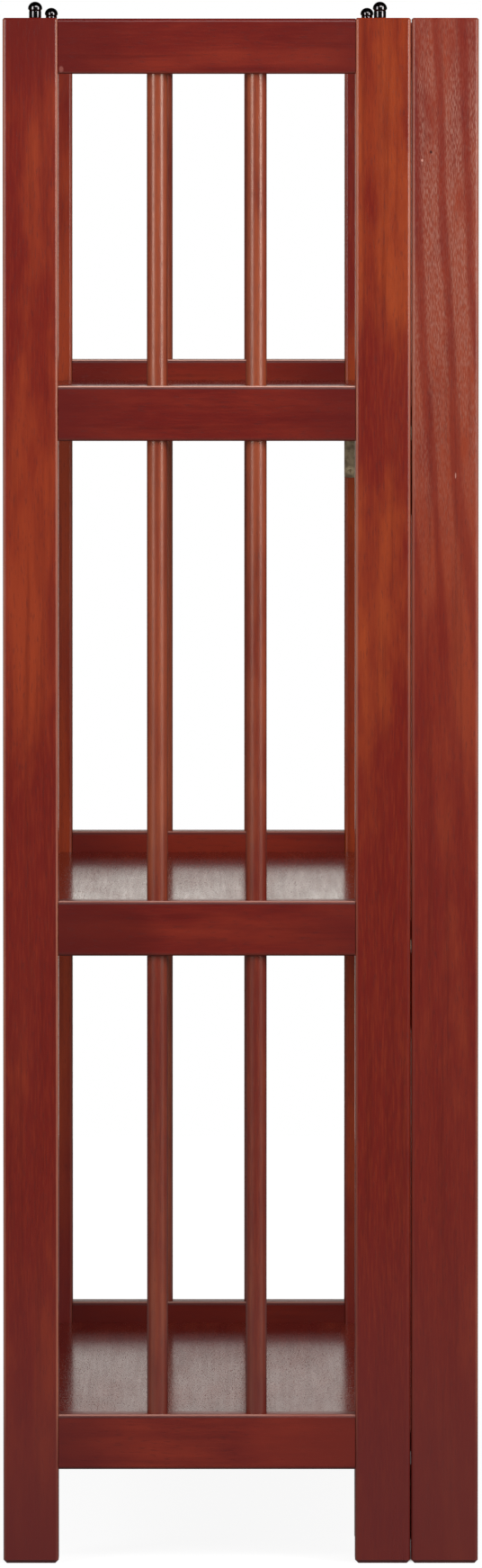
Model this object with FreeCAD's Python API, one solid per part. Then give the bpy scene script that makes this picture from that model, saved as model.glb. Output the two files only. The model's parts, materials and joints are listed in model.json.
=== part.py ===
import FreeCAD, Part

import math
import os

# Folding bookcase, open and standing on the floor.
#
# Two side frames (two posts, four rails and round spindles each) are hinged to the stiles of a
# back frame. Three shelves pivot on pins between the stiles and rest on cleats on the side rails.
# To fold it, each shelf turns up into the depth of the stiles, then each side frame swings
# inwards and lies flat across the front of the back frame. Pins on top of the side posts enter
# the sockets under the posts of a second bookcase that is stacked on this one.
#
# Millimetres. +X is to the right of someone facing the front, -Y is the front, +Z is up.
# The origin is on the floor, under the middle of the bookcase.

# --- Whole bookcase
WIDTH = 698.5
HEIGHT = 965.0
SIDE_DEPTH = 254.4           # front of the front post to back of the rear post
SEAM = 0.6                   # open gap between a side frame and its stile
FRAME_THICKNESS = 22.0       # posts and stiles, across the bookcase
EDGE_RADIUS = 2.5            # long edges of posts, stiles and rails
TOP_CHAMFER = 1.0            # upper ends of posts and stiles
FOOT_CHAMFER = 2.0           # lower ends
TIERS = ["bottom", "middle", "upper"]
LOWEST_RAIL_TOP = 93.2
TIER_PITCH = 321.4

# --- Side frames
POST_FACE = 34.5
RAIL_HEIGHT = 34.5
RAIL_THICKNESS = 20.0
TOP_RAIL_DROP = 0.4          # top rail below the ends of the posts
SPINDLE_DIAMETER = 13.0
SPINDLE_SEAT = 10.0          # depth of a spindle's end in its rail
SPINDLE_NAMES = ["front", "rear"]

# --- Back frame
STILE_DEPTH = 41.7
BACK_RAIL_THICKNESS = 16.0
BACK_RAIL_INSET = 1.0        # back rail behind the stiles' back faces

# --- Shelves, the pins they turn on, and the cleats they rest on
SHELF_THICKNESS = 12.0
SHELF_DROP = 14.0            # shelf's top below the top of its rails
SHELF_INSET = 23.9           # shelf's front edge behind the front posts' faces
SHELF_END_GAP = 2.25         # shelf's end to side frame
SHELF_EDGE_RADIUS = 3.0
SHELF_END_CHAMFER = 0.8
TURNING_GAP = 0.8            # shelf's round rear edge to the back rails
PIVOT_DIAMETER = 6.0
PIVOT_IN_SHELF = 15.0
PIVOT_IN_STILE = 12.5
PIVOT_CLEARANCE = 0.08       # round the pin, where it turns in the stile
CLEAT_WIDTH = 14.0
CLEAT_HEIGHT = 8.0
CLEAT_EDGE_RADIUS = 2.0
CLEAT_POST_GAP = 3.0         # cleat's end to post
CLEAT_SCREW_INSET = 20.0     # outer screws from the cleat's ends

# --- Butt hinges
HINGE_HEIGHT = 45.0
HINGE_RAIL_GAP = 0.8         # hinge below the rails over it
LEAF_WIDTH = 35.0            # hinge axis to the leaf's outer edge
LEAF_THICKNESS = 1.6
LEAF_CORNER_RADIUS = 2.0
KNUCKLES = 5
KNUCKLE_GAP = 0.3            # between the knuckles of the two leaves
NOTCH_GAP = 0.4              # between a knuckle and the other leaf's plate
ROLL_GAP = 0.3               # where the rolled strip meets its own plate
HINGE_PIN_DIAMETER = 3.2
HINGE_PIN_CLEARANCE = 0.05
HINGE_PIN_HEAD_DIAMETER = 5.0
HINGE_PIN_HEAD = 1.2
HINGE_PIN_RIM = 0.4          # straight edge of the head, under its dome
LEAF_SCREW_EDGE = 4.0        # screws from the leaf's outer edge
LEAF_SCREW_AXIS = 10.0       # inner screws from the hinge axis
LEAF_SCREW_END = 5.0         # screws from the leaf's ends

# --- Stacking pins and their sockets
PIN_FROM_FRONT = 20.2
PIN_FROM_SEAM = 19.2
PIN_STEM_DIAMETER = 7.7
PIN_STEM = 4.35
PIN_HEAD_DIAMETER = 8.9
PIN_HEAD_LOW = 5.3           # widest part of the head, above the post
PIN_HEAD_HIGH = 6.4
PIN_PROUD = 10.1
PIN_SHANK_DIAMETER = 5.0
PIN_SHANK = 20.0
SOCKET_DIAMETER = 9.6
SOCKET_DEPTH = 11.5
SOCKET_MOUTH = 0.8           # chamfer round the socket's mouth
TIP_DIAMETER = 0.8           # flat at the middle of a domed head

# --- Dowels and screws: (head diameter, shank diameter, length) of a screw
DOWEL_DIAMETER = 8.0
DOWEL_LENGTH = 30.0
DOWEL_SPREAD = 16.0          # between the two dowels of a joint
DOWEL_IN_POST = 10.0
DOWEL_IN_STILE = 13.0
DOWEL_CHAMFER = 0.8
LEAF_SCREW = (6.0, 3.0, 16.0)
CLEAT_SCREW = (6.4, 3.5, 28.0)
SCREW_POINT = 4.0
GLUE_GAP = 0.05              # round dowels, spindles, screws and shanks
HOLE_ROOM = 1.0              # hole deeper than what stands in it
TOUCH = 1e-6                 # lengths that differ by less are taken as the same

# --- Places that follow from the sizes
half_width = WIDTH / 2
inner_face = half_width - FRAME_THICKNESS
frame_middle = half_width - FRAME_THICKNESS / 2
front = -(SIDE_DEPTH + SEAM + STILE_DEPTH) / 2
side_back = front + SIDE_DEPTH
stile_front = side_back + SEAM
back = stile_front + STILE_DEPTH
opening_front = front + POST_FACE
opening_back = side_back - POST_FACE
rail_inner = frame_middle - RAIL_THICKNESS / 2
back_rail_back = back - BACK_RAIL_INSET
back_rail_front = back_rail_back - BACK_RAIL_THICKNESS

rail_tops = {tier: LOWEST_RAIL_TOP + i * TIER_PITCH for i, tier in enumerate(TIERS)}
rail_tops["top"] = HEIGHT - TOP_RAIL_DROP
levels = list(rail_tops)
shelf_tops = {tier: rail_tops[tier] - SHELF_DROP for tier in TIERS}

pivot_y = back_rail_front - TURNING_GAP - SHELF_THICKNESS / 2
shelf_front = front + SHELF_INSET
shelf_reach = pivot_y - shelf_front
shelf_end = inner_face - SHELF_END_GAP

bore_radius = HINGE_PIN_DIAMETER / 2 + HINGE_PIN_CLEARANCE
barrel_radius = bore_radius + LEAF_THICKNESS
hinge_x = inner_face - barrel_radius
hinge_y = side_back + SEAM / 2
hinge_bottoms = [rail_tops[t] - RAIL_HEIGHT - HINGE_RAIL_GAP - HINGE_HEIGHT for t in TIERS]

pin_places = [front + PIN_FROM_FRONT, side_back - PIN_FROM_SEAM]

ALONG_X = FreeCAD.Vector(1, 0, 0)
ALONG_Y = FreeCAD.Vector(0, 1, 0)
ALONG_Z = FreeCAD.Vector(0, 0, 1)


def at(x, y, z):
    return FreeCAD.Vector(x, y, z)


# --- Basic forms

def rounded(solid, radius, along, wanted=lambda middle: True):
    """Round the edges of a box that run one way, or those of them whose middle is wanted."""
    edges = [e for e in solid.Edges
             if e.tangentAt(e.FirstParameter).cross(along).Length < TOUCH and wanted(e.CenterOfMass)]
    return solid.makeFillet(radius, edges)


def eased(solid, chamfer, along, end):
    """Chamfer all round the low end (end = min) or the high end (max) of a bar."""
    place = end(v.Point.dot(along) for v in solid.Vertexes)
    edges = [e for e in solid.Edges
             if all(abs(v.Point.dot(along) - place) < TOUCH for v in e.Vertexes)]
    return solid.makeChamfer(chamfer, edges)


def bar(low, high, along):
    """Bar between two corners, its long edges rounded."""
    size = high - low
    return rounded(Part.makeBox(size.x, size.y, size.z, low), EDGE_RADIUS, along)


def upright(low, high):
    """Bar that stands on the floor, its ends chamfered."""
    return eased(eased(bar(low, high, ALONG_Z), FOOT_CHAMFER, ALONG_Z, min),
                 TOP_CHAMFER, ALONG_Z, max)


def turned(steps, start, direction):
    """Solid turned about a line. A step is a (radius, distance along the line) point, joined to
    the one before it by a straight line, or a pair of such points, the middle and end of an arc.
    """
    points = [at(steps[0][0], 0, steps[0][1])]
    edges = []
    for step in steps[1:]:
        if isinstance(step[0], tuple):
            middle, end = (at(r, 0, s) for r, s in step)
            edges.append(Part.Arc(points[-1], middle, end).toShape())
        else:
            end = at(step[0], 0, step[1])
            edges.append(Part.makeLine(points[-1], end))
        points.append(end)
    edges.append(Part.makeLine(points[-1], points[0]))
    solid = Part.Face(Part.Wire(edges)).revolve(at(0, 0, 0), ALONG_Z, 360)
    solid.Placement = FreeCAD.Placement(start, FreeCAD.Rotation(ALONG_Z, direction))
    return solid


def crown(start, end):
    """Step of turned() for a dome: an arc between two points, centred on the line."""
    centre = (start[1] + end[1]) / 2 + (end[0] ** 2 - start[0] ** 2) / (2 * (end[1] - start[1]))
    ball = math.hypot(start[0], start[1] - centre)
    turn = sum(math.atan2(s - centre, r) for r, s in (start, end)) / 2
    return (ball * math.cos(turn), centre + ball * math.sin(turn)), end


def round_hole(start, direction, diameter, depth, ease=GLUE_GAP):
    """Blind hole for a round piece, a little wider than it."""
    return Part.makeCylinder(diameter / 2 + ease, depth, start, direction)


def drilled(solid, holes):
    return solid.cut(holes).Solids[0]


# --- Dowels and screws

def dowel(start, direction):
    radius = DOWEL_DIAMETER / 2
    shoulder = radius - DOWEL_CHAMFER
    return turned([(0, 0), (shoulder, 0), (radius, DOWEL_CHAMFER),
                   (radius, DOWEL_LENGTH - DOWEL_CHAMFER), (shoulder, DOWEL_LENGTH),
                   (0, DOWEL_LENGTH)], start, direction)


def dowel_heights(level):
    """Heights of the two dowels at each end of a rail."""
    middle = rail_tops[level] - RAIL_HEIGHT / 2
    return [middle - DOWEL_SPREAD / 2, middle + DOWEL_SPREAD / 2]


def screw(size, start, direction):
    """Countersunk wood screw, the top of its head at start."""
    head, shank, length = size[0] / 2, size[1] / 2, size[2]
    return turned([(0, 0), (head, 0), (shank, head - shank), (shank, length - SCREW_POINT),
                   (0, length)], start, direction)


def screw_hole(size, start, direction):
    """Countersunk hole that a screw fills, open above its head."""
    head, shank, length = size[0] / 2, size[1] / 2, size[2]
    sink = head - shank
    return turned([(0, -HOLE_ROOM), (head + GLUE_GAP, -HOLE_ROOM), (head + GLUE_GAP, 0),
                   (shank + GLUE_GAP, sink), (shank + GLUE_GAP, length + GLUE_GAP),
                   (0, length + GLUE_GAP)], start, direction)


# --- Butt hinges, about a vertical axis at the origin, standing on the plane z = 0

def leaf_screw_places():
    """Screws of one leaf: (distance from the hinge axis, height)."""
    return [(away, height)
            for away in (LEAF_SCREW_AXIS, LEAF_WIDTH - LEAF_SCREW_EDGE)
            for height in (LEAF_SCREW_END, HINGE_HEIGHT - LEAF_SCREW_END)]


def leaf(own):
    """Leaf whose plate points along +Y with its back on x = barrel_radius. The strip is rolled
    round the pin at its own knuckles and cut away beside the knuckles of the other leaf.
    """
    plate_face = barrel_radius - LEAF_THICKNESS
    plate = Part.makeBox(LEAF_THICKNESS, LEAF_WIDTH, HINGE_HEIGHT, at(plate_face, 0, 0))
    plate = rounded(plate, LEAF_CORNER_RADIUS, ALONG_X, lambda middle: middle.y > LEAF_WIDTH / 2)
    knuckle = HINGE_HEIGHT / KNUCKLES
    notches = []
    for number in range(KNUCKLES):
        low = max(number * knuckle - KNUCKLE_GAP / 2, 0)
        high = min((number + 1) * knuckle + KNUCKLE_GAP / 2, HINGE_HEIGHT)
        if number not in own:
            notches.append(Part.makeBox(LEAF_THICKNESS, barrel_radius + NOTCH_GAP, high - low,
                                        at(plate_face, 0, low)))
    plate = plate.cut(notches)
    rolls = []
    for number in own:
        low = 0 if number == 0 else number * knuckle + KNUCKLE_GAP / 2
        high = HINGE_HEIGHT if number == KNUCKLES - 1 else (number + 1) * knuckle - KNUCKLE_GAP / 2
        rolls.append(Part.makeCylinder(barrel_radius, high - low, at(0, 0, low)))
    bore = Part.makeCylinder(bore_radius, HINGE_HEIGHT)
    slit = Part.makeBox(ROLL_GAP, barrel_radius, HINGE_HEIGHT,
                        at(plate_face - ROLL_GAP, bore_radius / 2, 0))
    holes = [screw_hole(LEAF_SCREW, at(plate_face, away, height), ALONG_X)
             for away, height in leaf_screw_places()]
    return drilled(plate.fuse(rolls), [bore, slit] + holes)


def hinge_pin():
    """Pin with a domed head at each end."""
    radius, head, tip = HINGE_PIN_DIAMETER / 2, HINGE_PIN_HEAD_DIAMETER / 2, TIP_DIAMETER / 2
    bottom, top = -HINGE_PIN_HEAD, HINGE_HEIGHT + HINGE_PIN_HEAD
    low_rim, high_rim = -HINGE_PIN_RIM, HINGE_HEIGHT + HINGE_PIN_RIM
    return turned([(0, bottom), (tip, bottom), crown((tip, bottom), (head, low_rim)), (head, 0),
                   (radius, 0), (radius, HINGE_HEIGHT), (head, HINGE_HEIGHT), (head, high_rim),
                   crown((head, high_rim), (tip, top)), (0, top)], at(0, 0, 0), ALONG_Z)


def mirrored_in_y(solid):
    return solid.mirror(at(0, 0, 0), ALONG_Y)


def at_each_hinge(solid):
    """Copies of a piece of a hinge at each hinge of the right-hand seam."""
    copies = []
    for bottom in hinge_bottoms:
        copy = solid.copy()
        copy.translate(at(hinge_x, hinge_y, bottom))
        copies.append(copy)
    return copies


def leaf_screw_starts(toward):
    """Tops of the screw heads in the leaves on the post (toward = -1) or on the stile (+1)."""
    return [at(inner_face - LEAF_THICKNESS, hinge_y + toward * away, bottom + height)
            for bottom in hinge_bottoms for away, height in leaf_screw_places()]


# --- Pieces of the right-hand side frame

def stacking_pin(y):
    """Ball-headed pin on top of a post: a shank in the post, a stem on it, and the head."""
    shank, stem, head = PIN_SHANK_DIAMETER / 2, PIN_STEM_DIAMETER / 2, PIN_HEAD_DIAMETER / 2
    tip = TIP_DIAMETER / 2
    return turned([(0, -PIN_SHANK), (shank, -PIN_SHANK), (shank, 0), (stem, 0), (stem, PIN_STEM),
                   crown((stem, PIN_STEM), (head, PIN_HEAD_LOW)), (head, PIN_HEAD_HIGH),
                   crown((head, PIN_HEAD_HIGH), (tip, PIN_PROUD)), (0, PIN_PROUD)],
                  at(frame_middle, y, HEIGHT), ALONG_Z)


def socket(y):
    """Hole under a post, for the pin of the bookcase below."""
    radius = SOCKET_DIAMETER / 2
    mouth = radius + SOCKET_MOUTH
    return turned([(0, -HOLE_ROOM), (mouth, -HOLE_ROOM), (mouth, 0), (radius, SOCKET_MOUTH),
                   (radius, SOCKET_DEPTH), (0, SOCKET_DEPTH)], at(frame_middle, y, 0), ALONG_Z)


def post(y, pin_y, joint_y, into, screws):
    """Post whose front is at y. Its rails meet it at joint_y, their dowels running into it."""
    solid = upright(at(inner_face, y, 0), at(half_width, y + POST_FACE, HEIGHT))
    holes = [socket(pin_y),
             round_hole(at(frame_middle, pin_y, HEIGHT), -ALONG_Z, PIN_SHANK_DIAMETER,
                        PIN_SHANK + HOLE_ROOM)]
    for level in levels:
        holes += [round_hole(at(frame_middle, joint_y, z), into, DOWEL_DIAMETER,
                             DOWEL_IN_POST + HOLE_ROOM) for z in dowel_heights(level)]
    holes += [screw_hole(LEAF_SCREW, start, ALONG_X) for start in screws]
    return drilled(solid, holes)


def spindle_places():
    """Spindles stand evenly across the opening between the posts."""
    step = (opening_back - opening_front) / (len(SPINDLE_NAMES) + 1)
    return {name: opening_front + (i + 1) * step for i, name in enumerate(SPINDLE_NAMES)}


def cleat_ends():
    return opening_front + CLEAT_POST_GAP, opening_back - CLEAT_POST_GAP


def cleat_screw_starts(tier):
    first, last = cleat_ends()
    first, last = first + CLEAT_SCREW_INSET, last - CLEAT_SCREW_INSET
    z = shelf_tops[tier] - SHELF_THICKNESS - CLEAT_HEIGHT / 2
    return [at(rail_inner - CLEAT_WIDTH, y, z) for y in (first, (first + last) / 2, last)]


def side_rail(level):
    top = rail_tops[level]
    bottom = top - RAIL_HEIGHT
    solid = bar(at(rail_inner, opening_front, bottom),
                at(rail_inner + RAIL_THICKNESS, opening_back, top), ALONG_Y)
    depth = DOWEL_LENGTH - DOWEL_IN_POST + HOLE_ROOM
    holes = []
    for z in dowel_heights(level):
        holes.append(round_hole(at(frame_middle, opening_front, z), ALONG_Y, DOWEL_DIAMETER, depth))
        holes.append(round_hole(at(frame_middle, opening_back, z), -ALONG_Y, DOWEL_DIAMETER, depth))
    for y in spindle_places().values():
        if level != levels[-1]:
            holes.append(round_hole(at(frame_middle, y, top), -ALONG_Z, SPINDLE_DIAMETER,
                                    SPINDLE_SEAT))
        if level != levels[0]:
            holes.append(round_hole(at(frame_middle, y, bottom), ALONG_Z, SPINDLE_DIAMETER,
                                    SPINDLE_SEAT))
    if level in TIERS:
        holes += [screw_hole(CLEAT_SCREW, start, ALONG_X) for start in cleat_screw_starts(level)]
    return drilled(solid, holes)


def spindle(y, lower, upper):
    """Round spindle from one rail up to the next, its ends in their seats."""
    bottom = rail_tops[lower] - SPINDLE_SEAT
    top = rail_tops[upper] - RAIL_HEIGHT + SPINDLE_SEAT
    return Part.makeCylinder(SPINDLE_DIAMETER / 2, top - bottom, at(frame_middle, y, bottom))


def cleat(tier):
    """Bar on the inner face of a rail, under the end of its shelf, its free edges rounded."""
    first, last = cleat_ends()
    top = shelf_tops[tier] - SHELF_THICKNESS
    solid = Part.makeBox(CLEAT_WIDTH, last - first, CLEAT_HEIGHT,
                         at(rail_inner - CLEAT_WIDTH, first, top - CLEAT_HEIGHT))
    solid = rounded(solid, CLEAT_EDGE_RADIUS, ALONG_Y,
                    lambda middle: middle.x < rail_inner - TOUCH)
    return drilled(solid, [screw_hole(CLEAT_SCREW, start, ALONG_X)
                           for start in cleat_screw_starts(tier)])


def side_dowels():
    dowels = []
    for level in levels:
        for z in dowel_heights(level):
            dowels.append(dowel(at(frame_middle, opening_front - DOWEL_IN_POST, z), ALONG_Y))
            dowels.append(dowel(at(frame_middle, opening_back + DOWEL_IN_POST, z), -ALONG_Y))
    return dowels


def side_frame():
    """Pieces of the right-hand side frame, by name."""
    pieces = {
        "front_post": [post(front, pin_places[0], opening_front, -ALONG_Y, [])],
        "rear_post": [post(opening_back, pin_places[1], opening_back, ALONG_Y,
                           leaf_screw_starts(-1))],
    }
    for level in levels:
        pieces[level + "_rail"] = [side_rail(level)]
    for lower, upper in zip(levels, levels[1:]):
        for name, y in spindle_places().items():
            pieces[lower + "_" + name + "_spindle"] = [spindle(y, lower, upper)]
    for tier in TIERS:
        pieces[tier + "_cleat"] = [cleat(tier)]
    pieces["cleat_screws"] = [screw(CLEAT_SCREW, start, ALONG_X)
                              for tier in TIERS for start in cleat_screw_starts(tier)]
    pieces["rail_dowels"] = side_dowels()
    pieces["stacking_pins"] = [stacking_pin(y) for y in pin_places]
    pieces["post_leaves"] = at_each_hinge(mirrored_in_y(leaf(range(1, KNUCKLES, 2))))
    pieces["post_leaf_screws"] = [screw(LEAF_SCREW, start, ALONG_X)
                                  for start in leaf_screw_starts(-1)]
    return pieces


# --- Pieces of the back frame

def stile():
    """Right-hand stile: back rails, shelf pins and hinge leaves all meet its inner face."""
    solid = upright(at(inner_face, stile_front, 0), at(half_width, back, HEIGHT))
    rail_y = (back_rail_front + back_rail_back) / 2
    holes = [round_hole(at(inner_face, rail_y, z), ALONG_X, DOWEL_DIAMETER,
                        DOWEL_IN_STILE + HOLE_ROOM)
             for level in levels for z in dowel_heights(level)]
    holes += [round_hole(at(inner_face, pivot_y, shelf_tops[tier] - SHELF_THICKNESS / 2), ALONG_X,
                         PIVOT_DIAMETER, PIVOT_IN_STILE + HOLE_ROOM, PIVOT_CLEARANCE)
              for tier in TIERS]
    holes += [screw_hole(LEAF_SCREW, start, ALONG_X) for start in leaf_screw_starts(1)]
    return drilled(solid, holes)


def back_rail(level):
    top = rail_tops[level]
    solid = bar(at(-inner_face, back_rail_front, top - RAIL_HEIGHT),
                at(inner_face, back_rail_back, top), ALONG_X)
    y = (back_rail_front + back_rail_back) / 2
    depth = DOWEL_LENGTH - DOWEL_IN_STILE + HOLE_ROOM
    holes = []
    for z in dowel_heights(level):
        holes.append(round_hole(at(-inner_face, y, z), ALONG_X, DOWEL_DIAMETER, depth))
        holes.append(round_hole(at(inner_face, y, z), -ALONG_X, DOWEL_DIAMETER, depth))
    return drilled(solid, holes)


def back_dowels():
    y = (back_rail_front + back_rail_back) / 2
    end = inner_face + DOWEL_IN_STILE
    dowels = []
    for level in levels:
        for z in dowel_heights(level):
            dowels.append(dowel(at(-end, y, z), ALONG_X))
            dowels.append(dowel(at(end, y, z), -ALONG_X))
    return dowels


def back_hinge_pieces():
    """Hinge pieces fixed to the right-hand stile, by name."""
    return {
        "stile_leaves": at_each_hinge(leaf(range(0, KNUCKLES, 2))),
        "hinge_pins": at_each_hinge(hinge_pin()),
        "stile_leaf_screws": [screw(LEAF_SCREW, start, ALONG_X) for start in leaf_screw_starts(1)],
    }


# --- Shelves

def shelf(tier):
    """Shelf with a rounded front edge and a rear edge that is half round about its pivot."""
    top = shelf_tops[tier]
    bottom = top - SHELF_THICKNESS
    middle = (top + bottom) / 2
    panel = Part.makeBox(2 * shelf_end, shelf_reach, SHELF_THICKNESS,
                         at(-shelf_end, shelf_front, bottom))
    panel = rounded(panel, SHELF_EDGE_RADIUS, ALONG_X, lambda centre: centre.y < pivot_y - TOUCH)
    rear = Part.makeCylinder(SHELF_THICKNESS / 2, 2 * shelf_end,
                             at(-shelf_end, pivot_y, middle), ALONG_X)
    solid = panel.fuse(rear).removeSplitter()
    for end in (min, max):
        solid = eased(solid, SHELF_END_CHAMFER, ALONG_X, end)
    depth = PIVOT_IN_SHELF + HOLE_ROOM
    return drilled(solid, [
        round_hole(at(-shelf_end, pivot_y, middle), ALONG_X, PIVOT_DIAMETER, depth),
        round_hole(at(shelf_end, pivot_y, middle), -ALONG_X, PIVOT_DIAMETER, depth)])


def shelf_pins(tier):
    """Pins fixed in the shelf's ends, which turn in the stiles."""
    z = shelf_tops[tier] - SHELF_THICKNESS / 2
    length = PIVOT_IN_SHELF + SHELF_END_GAP + PIVOT_IN_STILE
    inner = shelf_end - PIVOT_IN_SHELF
    radius = PIVOT_DIAMETER / 2
    return [Part.makeCylinder(radius, length, at(inner, pivot_y, z), ALONG_X),
            Part.makeCylinder(radius, length, at(-inner, pivot_y, z), -ALONG_X)]


# --- The whole bookcase

def on_the_left(solids):
    return [solid.mirror(at(0, 0, 0), ALONG_X) for solid in solids]


nodes = {}
for name, solids in side_frame().items():
    nodes["right_" + name] = solids
    nodes["left_" + name] = on_the_left(solids)
for name, solids in {"stile": [stile()], **back_hinge_pieces()}.items():
    nodes["right_" + name] = solids
    nodes["left_" + name] = on_the_left(solids)
for level in levels:
    nodes[level + "_back_rail"] = [back_rail(level)]
nodes["back_rail_dowels"] = back_dowels()
for tier in TIERS:
    nodes[tier + "_shelf"] = [shelf(tier)]
    nodes[tier + "_shelf_pins"] = shelf_pins(tier)

os.makedirs("parts", exist_ok=True)
for name, solids in nodes.items():
    shape = solids[0] if len(solids) == 1 else Part.makeCompound(solids)
    shape.exportStep("parts/" + name + ".step")
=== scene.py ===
import json
import math

import bmesh
import bpy
from mathutils import Matrix, Vector


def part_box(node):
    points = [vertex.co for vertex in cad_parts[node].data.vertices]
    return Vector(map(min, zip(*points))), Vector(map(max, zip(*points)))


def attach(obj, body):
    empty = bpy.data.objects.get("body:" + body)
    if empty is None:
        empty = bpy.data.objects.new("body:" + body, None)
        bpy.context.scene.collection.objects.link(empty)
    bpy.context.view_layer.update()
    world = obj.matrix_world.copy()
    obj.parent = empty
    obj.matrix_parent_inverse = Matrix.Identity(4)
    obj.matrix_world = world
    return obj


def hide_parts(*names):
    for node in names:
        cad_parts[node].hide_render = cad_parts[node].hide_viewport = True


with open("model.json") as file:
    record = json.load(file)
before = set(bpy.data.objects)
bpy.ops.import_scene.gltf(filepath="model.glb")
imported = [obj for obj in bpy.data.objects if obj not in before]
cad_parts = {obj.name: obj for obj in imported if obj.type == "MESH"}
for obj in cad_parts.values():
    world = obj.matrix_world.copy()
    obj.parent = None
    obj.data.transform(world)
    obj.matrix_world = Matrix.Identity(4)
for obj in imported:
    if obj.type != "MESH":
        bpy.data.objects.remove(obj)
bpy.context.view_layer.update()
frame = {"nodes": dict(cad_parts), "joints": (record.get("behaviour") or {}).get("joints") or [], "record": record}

# Folding bookcase: two side frames hinged to a back frame, and three tilting shelves.
# Metres, +Z up, -Y towards the front, +X to the right of someone facing the front.

MM = 0.001
TOUCH = 0.01 * MM            # lengths closer than this are taken as the same
X, Y, Z = range(3)
TIERS = ["bottom", "middle", "upper"]
LEVELS = TIERS + ["top"]
SIDES = ["left", "right"]

# --- Wood: edges and holes
LONG_EDGE = 2.5 * MM         # radius of the long edges of posts, stiles and rails
LONG_EDGE_STEPS = 5
TOP_CHAMFER = 1.0 * MM
FOOT_CHAMFER = 2.0 * MM
SHELF_EDGE = 3.0 * MM
SHELF_END_CHAMFER = 0.8 * MM
CLEAT_EDGE = 2.0 * MM
SMALL_EDGE = 0.4 * MM        # sanded corners that are otherwise left square
SOCKET_RADIUS = 4.8 * MM
SOCKET_DEPTH = 11.5 * MM
SOCKET_MOUTH = 0.8 * MM
TURNED_STEPS = 48            # facets round a spindle, a socket or a knuckle
SMALL_STEPS = 32             # the same for screws and pins of the hinges and shelves
BALL_STEPS = 64              # the same for the stacking pins

# --- Hinges
LEAF_THICKNESS = 1.6 * MM
LEAF_WIDTH = 35.0 * MM       # hinge axis to the leaf's outer edge
LEAF_CORNER = 2.0 * MM
KNUCKLES = 5
KNUCKLE_GAP = 0.3 * MM
NOTCH_GAP = 0.4 * MM
ROLL_GAP = 0.3 * MM
BORE_RADIUS = 1.65 * MM
BARREL_RADIUS = BORE_RADIUS + LEAF_THICKNESS
LEAF_SCREW_EDGE = 4.0 * MM
LEAF_SCREW_AXIS = 10.0 * MM
LEAF_SCREW_END = 5.0 * MM
LEAF_BREAK = 0.045 * MM      # broken edges of the stamped leaf
LEAF_BREAK_ANGLE = 40.0      # edges sharper than this many degrees are broken
SCREW_ROOM = 0.05 * MM       # between a leaf and its screws
CUT_MARGIN = 0.5 * MM        # how far a cutter stands out of what it cuts
HINGE_PIN_RADIUS = 1.6 * MM
HINGE_PIN_RIM = 0.4 * MM     # height of the straight rim of the pin's head
HINGE_PIN_HEAD = 1.2 * MM    # height of the whole head

# --- Screws: a cross recess in a flat countersunk head
SCREW_POINT = 4.0 * MM
RECESS_DEPTH = 0.45          # parts of the head's radius
RECESS_REACH = 0.55
RECESS_WIDTH = 0.17
RECESS_FOOT = 0.45           # width and reach at the recess's floor, parts of those at its mouth
HEAD_RIM = 0.05              # broken rim of the head
RECESS_TURN = 67.0           # degrees from one screw's recess to the next one's
LEAF_SCREW_HEAD = 3.0 * MM
LEAF_SCREW_SHANK = 1.5 * MM
CLEAT_SCREW_SHANK = 1.75 * MM

# --- Stacking pins: radii, and heights over the post
PIN_SHANK = 2.5 * MM
PIN_STEM = 3.85 * MM
PIN_BREAK = 0.25 * MM
PIN_STEM_TOP = 4.35 * MM
PIN_BAND = (5.3 * MM, 6.4 * MM)   # straight band round the head
PIN_TOP = 10.1 * MM


# --- Shader maths

class Value:
    """Output of a shader node. Arithmetic with it adds Math nodes to its finish."""

    def __init__(self, finish, socket):
        self.finish = finish
        self.socket = socket

    def maths(self, operation, *others):
        return self.finish.maths(operation, self, *others)

    def __add__(self, other):
        return self.maths("ADD", other)

    def __sub__(self, other):
        return self.maths("SUBTRACT", other)

    def __rsub__(self, other):
        return self.finish.maths("SUBTRACT", other, self)

    def __mul__(self, other):
        return self.maths("MULTIPLY", other)

    __radd__ = __add__
    __rmul__ = __mul__

    def __abs__(self):
        return self.maths("ABSOLUTE")

    def stepped(self, low, high):
        """0 below low, 1 above high, smooth between."""
        return self.finish.node("MapRange", {"interpolation_type": "SMOOTHSTEP"},
                                {"Value": self, "From Min": low, "From Max": high})


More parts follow.
